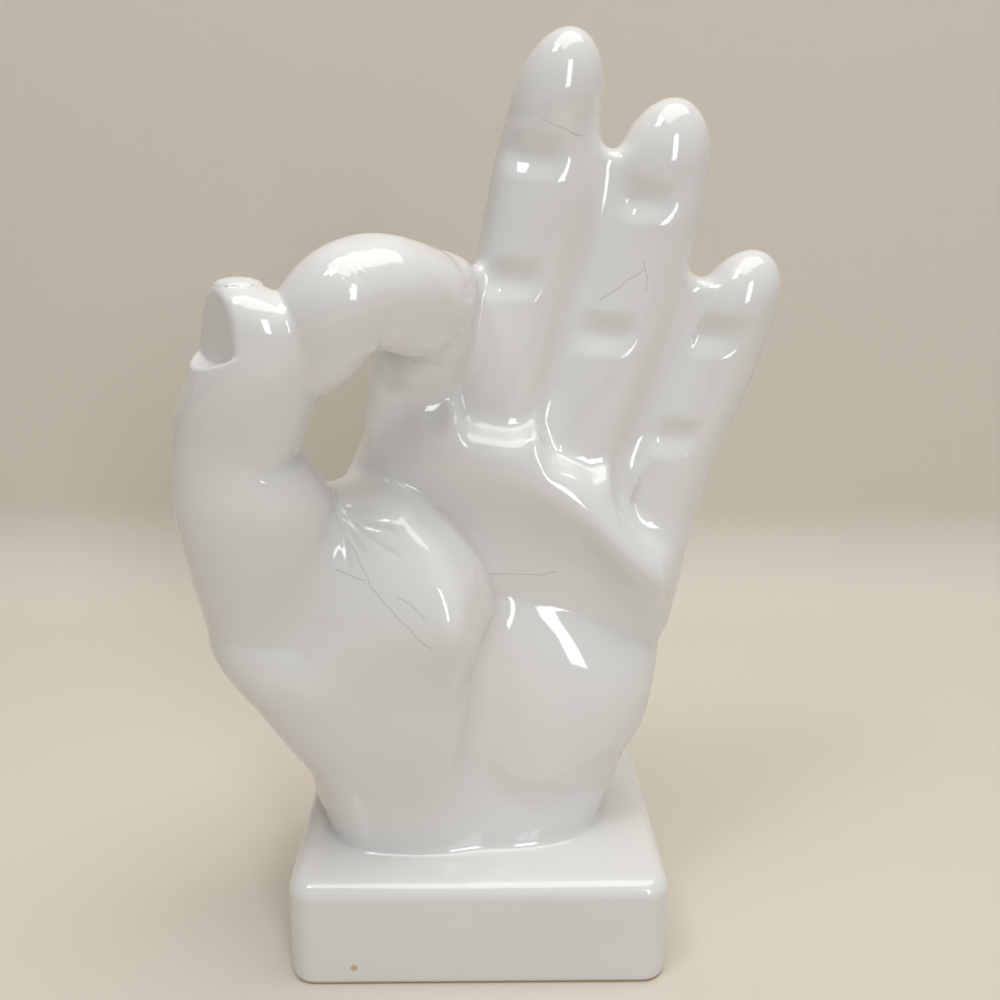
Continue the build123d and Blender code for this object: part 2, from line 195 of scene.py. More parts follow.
palmBody = {  # height, left, right, front, back
    "levels": [
        (20, -42.0, 36.0, -21.8, 23.2), (34, -43.0, 36.5, -21.8, 23.2), (41.3, -45.0, 39.0, -20.4, 22.4),
        (51, -46.0, 42.3, -18.4, 20.4), (67, -46.0, 48.0, -15.0, 18.8), (84, -45.0, 51.6, -12.6, 18.0),
        (100, -44.0, 55.0, -11.2, 18.0), (118, -42.0, 57.2, -11.8, 17.2), (133, -37.5, 54.0, -13.6, 17.2),
        (145, -32.0, 50.0, -14.8, 16.4), (158, -29.0, 46.0, -13.8, 15.2), (166, -27.0, 44.0, -12.5, 14.0),
    ],
    "heel": 6.0, "tip": 6.0, "lean": (0, 0), "power": 2.6,
}
thenar = {
    "levels": [
        (20, -40.0, -6.0, -18.0, 20.0), (34, -41.5, -3.0, -22.0, 20.0), (45, -45.5, -0.5, -25.8, 19.0),
        (55, -48.0, 2.0, -29.0, 17.0), (66, -53.8, 4.2, -32.0, 15.0), (77, -58.8, 5.4, -34.2, 13.0),
        (88, -64.5, 6.2, -35.2, 11.0), (98, -69.2, 7.0, -34.4, 9.5), (108, -73.6, 6.6, -32.4, 8.0),
        (118, -70.0, 2.0, -29.6, 5.0), (124, -60.0, -2.0, -27.0, 2.0), (129, -50.0, -6.0, -24.4, -2.0),
    ],
    "heel": 6.0, "tip": 7.0, "lean": (0.35, 0.7), "power": 3.2,
    "shear": -0.26, "shearFrom": -41, "shearUp": (80, 108),
}
palmMounds = {
    "front": (17, -12),  # from behind to the face of the palm
    "fold": [  # the heel's upper fold: across and up
        (-20, 108), (-0.3, 106), (9.7, 104), (21.3, 101.4), (32.3, 97.4), (45.1, 91.5), (60, 83),
    ],
    "heel": [  # below that fold: how far down, and where the palm's heel then stands
        (-6, -10.5), (0, -10.5), (3, -11.9), (6, -13.9), (10, -16.0), (14, -17.6), (18, -18.9), (22, -19.8),
        (30, -21.1), (40, -22.0), (56, -22.4), (70, -22.4),
    ],
    "heelFoot": [(-10, 62), (-1, 57), (6.8, 50.6), (17.2, 46.4), (30.6, 52), (45, 57), (60, 64)],
    "heelInner": (-11.0, 8.0), "heelOuter": (-4.0, 42.0), "heelShares": (0.3, 0.7),
    "heelBelow": (-1.5, 4.0), "heelFootSoft": 6,
    "dip": {"deep": 0.8, "down": 1.0, "half": 9.0, "across": (-14, 2)},  # along the fold
    "crest": [  # where the pads are fullest: across and up
        (-40, 149), (-20, 152), (-4, 151.5), (8, 149), (18, 144.5), (28, 138.5), (36, 131), (44, 123.5),
        (53, 118), (64, 115),
    ],
    "pads": {
        "swell": 2.6, "outerMore": 5.0, "outer": (6, 42), "down": 12.5, "half": 9.5,
        "inner": (-36, -24), "end": (60, 48),
    },
    "hollow": (1.6, 2, 18, 114, 12),  # depth, then middle and half breadth across and up
    "knuckles": [(-20, 145), (3, 147), (24, 138), (44, 125)],  # behind, across and up
    "knuckleSize": (7.5, 9.0, 2.2), "knuckleBack": (-4, 12),
    "padEdge": {"behind": 8, "steep": 0.8, "soft": 5.5},
    "padLine": [  # where the pads end under the fingers: across and up
        (-45, 146), (-36, 149), (-30.7, 151.9), (-26, 152.4), (-16, 152), (-10.8, 152.2), (-8.0, 154.4),
        (-6.2, 153.8), (-4.4, 150.9), (-1.8, 149.4), (3.3, 148.4), (8.5, 148.1), (12.2, 149.2), (14.2, 149.2),
        (15.9, 145.4), (18.1, 142.1), (21.6, 140), (25.5, 138.7), (29.5, 137.4), (32.3, 138.0), (33.8, 137.0),
        (35.4, 132), (38, 126.5), (42.2, 121.5), (46.4, 119.3), (50.5, 118.2), (56, 117.6), (62, 117.5),
    ],
    "lipLine": [  # the thumb mound's inner edge: up, across and forward
        (60, -3.0, -31), (75, -2.4, -33.5), (88, -2.6, -35.5), (98, -2.6, -36.5), (104, -3.0, -36.5),
        (109, -3.9, -36), (113.6, -5.4, -35), (119, -8.2, -33), (124, -11.6, -30.5), (128, -15.8, -28),
        (131.5, -19.2, -26), (134.5, -22.3, -24), (138, -25.8, -22),
    ],
    "lip": {
        "steep": 0.95, "tilt": 0.3, "tiltUp": (84, 104), "soft": (5.0, 6.0), "softUp": (98, 76),
        "melt": (4.0, 7.0), "meltUp": (108, 84),
    },
}
plinthShape = {"width": 103.5, "depth": 76.0, "height": 31.0, "corner": 7.0, "edge": 4.5, "foot": 1.6}

for body in (middleFinger, ringFinger, littleFinger, indexFinger, thumbRay, palmBody, thenar):
    body["read"] = splineThrough(body["levels"])
padLine = splineThrough(palmMounds["padLine"])
lipLine = splineThrough(palmMounds["lipLine"])
foldLine, heelRise = splineThrough(palmMounds["fold"]), splineThrough(palmMounds["heel"])
heelFoot, crestLine = splineThrough(palmMounds["heelFoot"]), splineThrough(palmMounds["crest"])


def bentFinger(x, y, z, shape):
    # distance to a line of spheres that swell and shrink, by the nearest point on a smooth line
    line = np.array(shape["line"], float)
    steps = np.concatenate([[0], np.cumsum(np.linalg.norm(np.diff(line[:, :3], axis=0), axis=1))])
    read = splineThrough(np.column_stack([steps, line]))
    t = np.zeros_like(x)
    best = np.full_like(x, 1e9)
    spots, rounds, golden = 24, 14, 0.381966

    def gap(s):
        cx, cy, cz, r = read(s)
        return np.sqrt((x - cx) ** 2 + (y - cy) ** 2 + (z - cz) ** 2) - r

    for s in np.linspace(0, steps[-1], spots):
        d = gap(s)
        near = d < best
        best[near], t[near] = d[near], s
    span = steps[-1] / (spots - 1)
    low, high = np.maximum(t - span, 0), np.minimum(t + span, steps[-1])
    for _ in range(rounds):
        a, b = low + golden * (high - low), high - golden * (high - low)
        left = gap(a) < gap(b)
        high, low = np.where(left, b, high), np.where(left, low, a)
    t = (low + high) / 2
    cx, cy, cz, r = read(t)
    facing = ramp(*shape["foldFacing"], (cy - y) / r)  # the folds lie on the side of the palm
    folds = sum(depth * bell(t, place, half) for place, depth, half in shape["folds"])
    return gap(t) + folds * facing


def roundedEdge(a, b, radius):  # two flat faces that meet in a rounded edge
    a, b = a + radius, b + radius
    return np.hypot(np.maximum(a, 0), np.maximum(b, 0)) + np.minimum(np.maximum(a, b), 0) - radius


def plinthField(x, y, z):
    p = plinthShape
    side = roundedEdge(abs(x) - p["width"] / 2, abs(y) - p["depth"] / 2, p["corner"])
    return trim(roundedEdge(side, z - p["height"], p["edge"]), -z, p["foot"])


def thumbField(x, y, z):
    thumb = limb(x, y, z, thumbRay)[0]
    nail, fold = thumbRay["nail"], thumbRay["fold"]
    (px, py), (fx, fy) = nail["point"], nail["facing"]
    out = (x - px) * fx + (y - py) * fy
    along = (y - py) * fx - (x - px) * fy - nail["shift"]
    nailBed = melt(out, z - nail["fold"] - nail["curl"] * along ** 2, nail["foldEdge"])
    thumb = trim(thumb, nailBed, nail["edge"])
    inner, outer = fold["across"][1], fold["across"][0]
    height = z - fold["up"] + fold["drop"] * (inner - x)
    facing, across = ramp(*fold["front"], y), ramp(outer, inner, x)
    return thumb + fold["depth"] * facing * across * crease(height, fold["soft"], fold["soft"])


def indexField(x, y, z):
    flank = indexFinger["flank"]
    (px, pz), (fx, fz) = flank["point"], flank["facing"]
    first = limb(x, y, z, indexFinger)[0]
    bent = bentFinger(x, y, z, indexFinger)
    return trim(melt(first, bent, indexFinger["melt"]), (x - px) * fx + (z - pz) * fz, flank["edge"])


def fingersField(x, y, z):
    skin, webs = fingerSkin, fingerWebs
    fingers = []
    for shape in (middleFinger, ringFinger, littleFinger):
        d, u, v = limb(x, y, z, shape)
        front, back = ramp(*skin["front"], v), ramp(*skin["back"], v)
        for height, depth, half in shape["folds"]:
            above = z - height - skin["bow"] * u ** 2
            sunk = crease(above, skin["rise"], skin["fall"])
            d = d + depth * front * sunk * np.exp(-(abs(u - skin["middle"]) / half) ** 3)
            lined = sum(share * bell(above, up, skin["lineHalf"]) for up, share in skin["jointLines"])
            d = d + skin["lineDepth"] * back * lined * np.exp(-(u / skin["lineReach"]) ** 4)
        nailHeight, nailHalf = shape["nail"]
        rim = np.hypot(u / skin["nailHalf"], (z - nailHeight) / nailHalf)
        rimDepth, rimHalf = skin["nailRim"]
        sunk, begin, full = skin["nailSunk"]
        d = d + rimDepth * back * bell(rim, 1.0, rimHalf) + sunk * back * ramp(begin, full, rim)
        fingers.append(d)
    middle, ring, little = fingers
    straight = melt(melt(middle, ring, skin["melt"]), little, skin["melt"])
    for (x0, z0), (x1, z1) in webs["lines"]:
        reach = math.hypot(x1 - x0, z1 - z0)
        beside = abs((x - x0) * (z1 - z0) - (z - z0) * (x1 - x0)) / reach
        along = ((x - x0) * (x1 - x0) + (z - z0) * (z1 - z0)) / reach
        deep = webs["deep"] + webs["rootMore"] * ramp(webs["rootReach"], 0, along)
        plate = np.maximum(beside - webs["half"], abs(y - webs["middle"]) - deep)
        straight = melt(straight, trim(plate, along - reach, webs["topEdge"]), webs["melt"])
    return straight


def palmSwell(x, z):  # how far the palm's face stands forward of its plain levels, in mm
    m = palmMounds
    crest, = crestLine(x)
    fold, = foldLine(x)
    foot, = heelFoot(x)
    below = fold - z
    rise, = heelRise(below)
    plain = palmBody["read"](z)[2]
    soft = m["heelFootSoft"]
    heel = np.maximum(plain - rise, 0) * ramp(*m["heelBelow"], below) * ramp(foot - soft, foot + soft, z)
    least, rest = m["heelShares"]
    heel = heel * ramp(*m["heelInner"], x) * (least + rest * ramp(*m["heelOuter"], x))
    d, p = m["dip"], m["pads"]
    dip = d["deep"] * bell(below, d["down"], d["half"]) * ramp(*d["across"], x)
    swell = p["swell"] + p["outerMore"] * ramp(*p["outer"], x)
    pads = swell * bell(crest - z, p["down"], p["half"]) * ramp(*p["inner"], x) * ramp(*p["end"], x)
    deep, across, halfAcross, up, halfUp = m["hollow"]
    hollow = deep * bell(x, across, halfAcross) * bell(z, up, halfUp)
    return heel + pads - dip - hollow


def palmField(x, y, z):
    m = palmMounds
    halfAcross, halfUp, stands = m["knuckleSize"]
    knuckles = sum(bell(x, kx, halfAcross) * bell(z, kz, halfUp) for kx, kz in m["knuckles"])
    shift = palmSwell(x, z) * ramp(*m["front"], y) - stands * knuckles * ramp(*m["knuckleBack"], y)
    body = limb(x, y + shift, z, palmBody)[0]
    pad, = padLine(x)
    edge = m["padEdge"]
    body = trim(body, (z - pad - np.maximum(y + edge["behind"], 0)) * edge["steep"], edge["soft"])
    sheared = y - thenar["shear"] * (x - thenar["shearFrom"]) * ramp(*thenar["shearUp"], z)
    ball = limb(x, sheared, z, thenar)[0]
    lip, forward = lipLine(z)
    rim = m["lip"]
    (soft, softer), (join, wider) = rim["soft"], rim["melt"]
    past = (x - lip) * rim["steep"] - (y - forward) * rim["tilt"] * ramp(*rim["tiltUp"], z)
    ball = trim(ball, past, soft + softer * ramp(*rim["softUp"], z))
    return melt(body, ball, join + wider * ramp(*rim["meltUp"], z))


wrinkles = {  # fine skin lines that fan over the thumb's mound: across and up
    "lines": [
        [(-36.6, 131.6), (-32.1, 129.3), (-27.0, 128.1), (-22.0, 127.5)],
        [(-35.5, 129.5), (-32.0, 125.8), (-29.4, 122.4)], [(-35.0, 128.6), (-33.4, 123.1), (-32.6, 119.0)],
        [(-33.7, 130.1), (-27.4, 125.2), (-20.9, 122.0)],
    ],
    "deep": 0.3, "half": 0.8, "middle": (-29, 125), "reach": (11, 10), "front": -12, "far": 9.0,
}


def wrinkleField(x, y, z):
    (mx, mz), (rx, rz) = wrinkles["middle"], wrinkles["reach"]
    near = np.flatnonzero((abs(x - mx) < rx) & (abs(z - mz) < rz) & (y < wrinkles["front"]))
    sunk = np.zeros_like(x)
    for line in wrinkles["lines"]:
        closest = np.full(len(near), wrinkles["far"])
        for (x0, z0), (x1, z1) in zip(line, line[1:]):
            dx, dz = x1 - x0, z1 - z0
            t = np.clip(((x[near] - x0) * dx + (z[near] - z0) * dz) / (dx * dx + dz * dz), 0, 1)
            closest = np.minimum(closest, np.hypot(x[near] - x0 - t * dx, z[near] - z0 - t * dz))
        sunk[near] = np.maximum(sunk[near], bell(closest, 0, wrinkles["half"]))
    return wrinkles["deep"] * sunk


fillets = {  # how wide the clay is smoothed where two bodies join, in mm
    "thumb": 7.0, "fingers": 4.0, "index": 1.8, "indexMore": 3.2, "indexSpan": (-30, -16), "plinth": 3.0,
}


def handField(x, y, z):
    hand = melt(palmField(x, y, z), thumbField(x, y, z), fillets["thumb"])
    hand = melt(hand, fingersField(x, y, z), fillets["fingers"])
    beside = fillets["index"] + fillets["indexMore"] * ramp(*fillets["indexSpan"], x)
    hand = melt(hand, indexField(x, y, z), beside)
    return melt(hand, plinthField(x, y, z), fillets["plinth"]) + wrinkleField(x, y, z)


# from field to mesh

meshing = {  # mm
    "voxel": 0.8, "block": 4, "low": (-82, -54, -3), "high": (84, 42, 252),
    "far": 2.0, "skin": 3.0, "diagonal": 0.87,  # a block nearer than this is read voxel by voxel
    "batch": 4000, "step": 0.12, "rounds": 3, "longestMove": 0.4, "leastSlope": 0.2,
}


def surfaceOf(field):
    voxel, block, far = meshing["voxel"], meshing["block"], meshing["far"]
    low = np.array(meshing["low"], float)
    counts = np.ceil((np.array(meshing["high"]) - low) / (voxel * block)).astype(int)
    cell = voxel * block
    centres = [low[i] + (np.arange(counts[i]) + 0.5) * cell - voxel / 2 for i in range(3)]
    gx, gy, gz = np.meshgrid(*centres, indexing="ij")
    coarse = field(gx.ravel(), gy.ravel(), gz.ravel()).reshape(counts)
    grid = np.clip(coarse, -far, far)
    for axis in range(3):
        grid = np.repeat(grid, block, axis)
    grid = grid.astype(np.float32)
    near = np.argwhere(abs(coarse) < cell * meshing["diagonal"] + meshing["skin"])
    inner = np.stack(np.meshgrid(*[np.arange(block)] * 3, indexing="ij"), -1).reshape(-1, 3)
    for part in np.array_split(near, max(1, len(near) // meshing["batch"])):
        index = (part[:, None, :] * block + inner[None]).reshape(-1, 3)
        p = low + index * voxel
        grid[index[:, 0], index[:, 1], index[:, 2]] = field(*p.T)
    cage = vdb.FloatGrid()
    cage.copyFromArray(grid)
    cage.background = far
    points, quads = cage.convertToQuads(isovalue=0)
    return np.array(points, float) * voxel + low, np.array(quads)


def slope(field, p):  # the way out of the surface at each point
    g = np.zeros_like(p)
    for i in range(3):
        step = np.zeros(3)
        step[i] = meshing["step"]
        g[:, i] = (field(*(p + step).T) - field(*(p - step).T)) / (2 * meshing["step"])
    return g


def settle(field, p):  # moves points onto the surface
    longest = meshing["longestMove"]
    for _ in range(meshing["rounds"]):
        g = slope(field, p)
        move = field(*p.T) / np.maximum((g ** 2).sum(1), meshing["leastSlope"])
        p = p - g * np.clip(move, -longest, longest)[:, None]
    return p


points, quads = surfaceOf(handField)
say(f"surface found: {len(points)} points, {len(quads)} faces")
points = settle(handField, points)
say("points settled on the surface")
normals = slope(handField, points)
normals /= np.linalg.norm(normals, axis=1)[:, None]


# the seven cast sections

seams = {  # across and up in mm
    "wrist": 34.0,
    "thumbFar": (-100, 91), "ringFoot": (-36.5, 134.5), "indexEdge": (-36.2, 150.3),
    "indexWeb": (-6.9, 152.4), "middleWeb": (14.3, 148.6), "ringWeb": (34.6, 136.4), "littleFar": (100, 82),
    "indexTop": (9.1, 280), "middleTop": (47.2, 280), "ringTop": (83.0, 280),
}
cutting = {  # mm
    "near": 3, "lowest": 60, "snap": 1e-4, "weld": 0.01, "corner": 0.03, "offSeam": 0.02,
    "seatNear": 4, "seatAbove": 150, "steep": 2, "stepReach": 6,
}
rootLine = ["thumbFar", "ringFoot", "indexEdge", "indexWeb", "middleWeb", "ringWeb", "littleFar"]
fingerCuts = [("indexWeb", "indexTop"), ("middleWeb", "middleTop"), ("ringWeb", "ringTop")]
cuts = list(zip(rootLine, rootLine[1:])) + fingerCuts
corners = ["ringFoot", "indexEdge", "indexWeb", "middleWeb", "ringWeb"]


def sideOf(x, z, a, b):  # above zero to the left of the line from a to b
    (x0, z0), (x1, z1) = seams[a], seams[b]
    return ((x1 - x0) * (z - z0) - (z1 - z0) * (x - x0)) / math.hypot(x1 - x0, z1 - z0)


def alongOf(x, z, a, b):
    (x0, z0), (x1, z1) = seams[a], seams[b]
    return ((x - x0) * (x1 - x0) + (z - z0) * (z1 - z0)) / math.hypot(x1 - x0, z1 - z0)


def lengthOf(a, b):
    return math.hypot(seams[b][0] - seams[a][0], seams[b][1] - seams[a][1])


def sliceBy(shape, place, facing, wanted):
    faces = [f for f in shape.faces if wanted(f.calc_center_median())]
    geom = set(faces)
    for f in faces:
        geom.update(f.verts)
        geom.update(f.edges)
    geom = list(geom)
    bmesh.ops.bisect_plane(shape, geom=geom, dist=cutting["snap"], plane_co=place, plane_no=facing)


def thumbLead(p):  # below zero where the thumb's surface is the nearer one
    return thumbField(*p.T) - indexField(*p.T)


def besideSeam(c, a, b):  # whether a face is close enough to a seam to be cut by it
    near, along = cutting["near"], alongOf(c.x, c.z, a, b)
    return abs(sideOf(c.x, c.z, a, b)) < near and -near < along < lengthOf(a, b) + near


whole = bmesh.new()
for p in points:
    whole.verts.new(p)
whole.verts.ensure_lookup_table()
for q in quads.tolist():
    whole.faces.new([whole.verts[i] for i in q])
sliceBy(whole, (0, 0, seams["wrist"]), (0, 0, 1), lambda c: abs(c.z - seams["wrist"]) < cutting["near"])
for a, b in cuts:
    (x0, z0), (x1, z1) = seams[a], seams[b]
    across = (z1 - z0, 0, x0 - x1)
    sliceBy(whole, (x0, 0, z0), across, lambda c: besideSeam(c, a, b) and c.z > cutting["lowest"])
bmesh.ops.remove_doubles(whole, verts=whole.verts[:], dist=cutting["weld"])

# the seat of the index fingertip: cut where thumb and finger are equally near
whole.verts.ensure_lookup_table()
whole.verts.index_update()
place = np.array([v.co for v in whole.verts])
lead = thumbLead(place)
offBoth = np.maximum(abs(thumbField(*place.T)), abs(indexField(*place.T)))
seatCut = []
for e in list(whole.edges):
    i, j = e.verts[0].index, e.verts[1].index
    if lead[i] * lead[j] < 0 and offBoth[i] < cutting["seatNear"] and place[i][2] > cutting["seatAbove"]:
        seatCut.append((e, e.verts[0], lead[i] / (lead[i] - lead[j])))
fresh = [bmesh.utils.edge_split(e, v, share)[1] for e, v, share in seatCut]
bmesh.ops.connect_verts(whole, verts=fresh)
whole.verts.index_update()
place = np.array([v.co for v in whole.verts])
faces = [[v.index for v in f.verts] for f in whole.faces]
whole.free()
say(f"seams cut: {len(place)} points, {len(faces)} faces")

centre = np.array([place[f].mean(0) for f in faces])
cx, cz = centre[:, 0], centre[:, 2]
belowRoot = np.ones(len(faces), bool)
for a, b in zip(rootLine, rootLine[1:]):
    (x0, z0), (x1, z1) = seams[a], seams[b]
    inSpan = (cx >= min(x0, x1)) & (cx < max(x0, x1))
    upright = abs(x1 - x0) < cutting["steep"]
    belowRoot[inSpan] = cz[inSpan] < z1 if upright else sideOf(cx, cz, a, b)[inSpan] < 0
foot, edge, reach = seams["ringFoot"], seams["indexEdge"], cutting["stepReach"]
atStep = (cz > foot[1]) & (cz < edge[1]) & (cx > edge[0] - reach) & (cx < foot[0] + reach)
belowRoot[atStep] = sideOf(cx, cz, "ringFoot", "indexEdge")[atStep] < 0
zone = np.full(len(faces), "palm", dtype="<U14")
up = ~belowRoot
leftOf = {b: sideOf(cx, cz, a, b) > 0 for a, b in fingerCuts}
lead = thumbLead(centre)
aside = (lead < 0) | ((cx < edge[0]) & (cz < edge[1]))
zone[up & leftOf["indexTop"]] = "index_finger"
zone[up & leftOf["indexTop"] & aside] = "thumb"
zone[up & ~leftOf["indexTop"] & leftOf["middleTop"]] = "middle_finger"
zone[up & ~leftOf["middleTop"] & leftOf["ringTop"]] = "ring_finger"
zone[up & ~leftOf["ringTop"]] = "little_finger"
zone[cz < seams["wrist"]] = "plinth"
pieceNames = {
    "plinth": "plinth", "palm": "palm", "thumb": "thumb", "index_finger": "indexFinger",
    "middle_finger": "middleFinger", "ring_finger": "ringFinger", "little_finger": "littleFinger",
}


def loopsOf(edges):  # closed rings of points from edges that meet end to end
    links = {}
    for e in edges:
        for v in e.verts:
            links.setdefault(v, []).append(e)
    loops, seen = [], set()
    for begin in links:
        if begin in seen:
            continue
        ring, here, edge = [], begin, None
        while here not in seen:
            seen.add(here)
            ring.append(here)
            ahead = [e for e in links[here] if e is not edge and e.other_vert(here) not in seen]
            if ahead:
                edge = ahead[0]
                here = edge.other_vert(here)
        loops.append(ring)
    return loops


def capPlace(p, a, b):  # a point of a seam in the seam's own plane
    if a == "wrist":
        return p.x, p.y
    return alongOf(p.x, p.z, a, b), p.y


def missBy(p, a, b):  # how far a point lies off a seam
    if a == "wrist":
        return abs(p.z - seams["wrist"])
    along = alongOf(p.x, p.z, a, b)
    return math.hypot(sideOf(p.x, p.z, a, b), max(-along, along - lengthOf(a, b), 0))


def makePiece(node):
    chosen = [faces[i] for i in np.flatnonzero(zone == node)]
    used = sorted({i for f in chosen for i in f})
    shape = bmesh.new()
    verts = {i: shape.verts.new(place[i]) for i in used}
    for f in chosen:
        shape.faces.new([verts[i] for i in f])
    rim = [e for e in shape.edges if len(e.link_faces) == 1]
    rimVerts = {v for e in rim for v in e.verts}
    posts = {}
    for name in corners:  # an edge from front to back where two seams meet
        x, z = seams[name]
        close = [(math.hypot(v.co.x - x, v.co.z - z), v.co.y, v) for v in rimVerts]
        close = [(y, v) for off, y, v in sorted(c for c in close if c[0] < cutting["corner"])]
        if close:
            middle = sum(y for y, v in close) / len(close)
            low = next(v for y, v in close if y < middle)
            high = next(v for y, v in close if y > middle)
            posts[name] = shape.edges.get((low, high)) or shape.edges.new((low, high))
    left = set(rim)
    skin = len(shape.faces)
    lines = cuts + [("wrist", "wrist")]
    rings = {line: [] for line in lines}
    for e in rim:  # each edge of the rim goes to its nearest seam
        miss, line = min((max(missBy(v.co, *line) for v in e.verts), line) for line in lines)
        if miss < cutting["offSeam"]:
            rings[line].append(e)
            left.discard(e)
    for (a, b), ring in rings.items():
        ring = ring + [posts[name] for name in (a, b) if name in posts] if ring else []
        for loop in loopsOf(ring):  # each seam is a flat cap, filled ring by ring
            flat = [Vector(capPlace(v.co, a, b)) for v in loop]
            triangles = delaunay_2d_cdt(flat, [], [list(range(len(loop)))], 1, 1e-6)[2]
            for i, j, k in triangles:
                shape.faces.new((loop[i], loop[j], loop[k]))
    for ring in loopsOf(left):  # the seat of the fingertip
        hub = shape.verts.new(sum((v.co for v in ring), Vector()) / len(ring))
        for v, w in zip(ring, ring[1:] + ring[:1]):
            shape.faces.new((v, w, hub))
    shape.faces.ensure_lookup_table()
    bmesh.ops.recalc_face_normals(shape, faces=shape.faces[:])
    caps = set(shape.faces[skin:])
    for f in shape.faces:
        f.smooth = f not in caps
    openEdges = sum(len(e.link_faces) != 2 for e in shape.edges)
    where = np.array([v.co for v in shape.verts])
    shape.verts.index_update()
    normal = slope(handField, where)
    normal /= np.linalg.norm(normal, axis=1)[:, None]
    split = []
    for f in shape.faces:
        for v in f.verts:
            split.append(tuple(f.normal) if f in caps else tuple(normal[v.index]))
    data = bpy.data.meshes.new(pieceNames[node])
    shape.to_mesh(data)
    shape.free()
    data.transform(Matrix.Scale(mm, 4))
    data.normals_split_custom_set(split)
    piece = bpy.data.objects.new(pieceNames[node], data)
    bpy.context.scene.collection.objects.link(piece)
    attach(piece, "root")
    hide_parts(node)
    say(f"{node}: {len(data.polygons)} faces, {len(caps)} in its seams, {openEdges} open edges")
    return piece


pieces = [makePiece(node) for node in pieceNames]


# finishes

def colour(text):  # sRGB hex to linear
    parts = [int(text[i:i + 2], 16) / 255 for i in (1, 3, 5)]
    return tuple(c / 12.92 if c <= 0.04045 else ((c + 0.055) / 1.055) ** 2.4 for c in parts) + (1.0,)


def addNode(tree, kind, plugs=None, **settings):  # adds a node, sets its fields and fills its sockets
    made = tree.nodes.new("ShaderNode" + kind)
    for name, value in settings.items():
        setattr(made, name, value)
    for name, value in (plugs or {}).items():
        if isinstance(value, bpy.types.NodeSocket):
            tree.links.new(value, made.inputs[name])
        else:
            made.inputs[name].default_value = value
    return made.outputs


# White tin glaze over cast earthenware: dipped, fired to a thick clear-topped skin. It gives the eye
# mirror-sharp window reflections over a soft warm white, with painted shade greying its hollows and creases.
glazeLook = {  # sizes in mm
    "white": "#ECEBE8", "cloudy": "#E2E1DF", "creaseShade": "#BDB6AC", "bareClay": "#CDB894", "crack": "#8E8780",
    "speck": "#5F5346", "ior": 1.6, "gloss": 0.06, "bareRough": 0.8,
    "clouds": 60.0, "waviness": 17.0, "waveHeight": 0.16,
    "creaseShadeBends": (0.43, 0.495), "creaseShadeShare": 0.45,  # pointiness of a hollow, and how strongly the painted shade greys it
    "speckEvery": 15.0, "speckSize": 0.55, "speckEdge": 0.6, "speckChance": (0.28, 0.30),
    "crackWidth": 0.24,  # about twice as wide as real cracks, so that they show
    "crackWander": 0.9, "crackSway": 5.0, "crackShare": 0.4, "crackFacing": (-0.4, -0.2),
    "foot": 1.1, "footEdge": (0.8, 1.2), "chip": ((-34.0, -38.0, 5.6), 1.1), "chipEdge": 0.8,
    "cracks": [  # crazing cracks on the palm's side: across and up
        [(-32.4, 124.7), (-26.7, 114.4), (-20.5, 108.1), (-12.0, 100.4)],
        [(-20.3, 113.0), (-17.1, 111.4), (-13.9, 108.3)],
        [(-1.0, 110.5), (5.1, 109.5), (13.3, 108.8), (20.8, 109.5)], [(-1.1, 115.3), (-1.1, 108.5)],
        [(-36.0, 117.9), (-32.5, 117.1), (-28.5, 115.4)], [(14.2, 224.0), (18.3, 222.5), (24.6, 220.5)],
        [(40.4, 189.4), (35.3, 185.9), (30.0, 181.8)], [(40.3, 191.4), (41.3, 188.0), (41.9, 184.5)],
    ],
}


def between(tree, value, low, high):  # 1 at low and under, 0 at high and over
    plugs = {"Value": value, "From Min": low, "From Max": high, "To Min": 1.0, "To Max": 0.0}
    return addNode(tree, "MapRange", plugs, interpolation_type="SMOOTHSTEP")["Result"]


def blend(tree, share, first, second):
    made = addNode(tree, "Mix", {"Factor": share}, data_type="RGBA")
    mix = made[0].node
    for socket, value in ((mix.inputs[6], first), (mix.inputs[7], second)):
        if isinstance(value, bpy.types.NodeSocket):
            tree.links.new(value, socket)
        else:
            socket.default_value = colour(value)
    return made[2]


def maths(tree, how, first, second, **settings):
    return addNode(tree, "Math", {0: first, 1: second}, operation=how, **settings)[0]


def vectors(tree, how, first, second):
    return addNode(tree, "VectorMath", {0: first, 1: second}, operation=how)


def crackDistance(tree, spot, lines):  # how far a spot lies from the nearest crack
    nearest = 1.0
    for line in lines:
        for (x0, z0), (x1, z1) in zip(line, line[1:]):
            dx, dz = (x1 - x0) * mm, (z1 - z0) * mm
            square = dx * dx + dz * dz
            away = vectors(tree, "SUBTRACT", spot, (x0 * mm, 0, z0 * mm))[0]
            t = vectors(tree, "DOT_PRODUCT", away, (dx / square, 0, dz / square))["Value"]
            t = maths(tree, "ADD", t, 0.0, use_clamp=True)
            foot = addNode(tree, "VectorMath", {0: (dx, 0, dz), "Scale": t}, operation="SCALE")[0]
            gap = vectors(tree, "DISTANCE", away, foot)["Value"]
            nearest = maths(tree, "MINIMUM", gap, nearest)
    return nearest


def noise(tree, at, every, detail, output="Fac"):  # every is the pattern's size in mm
    plugs = {"Vector": at, "Scale": 1 / (every * mm), "Detail": detail}
    return addNode(tree, "TexNoise", plugs)[output]


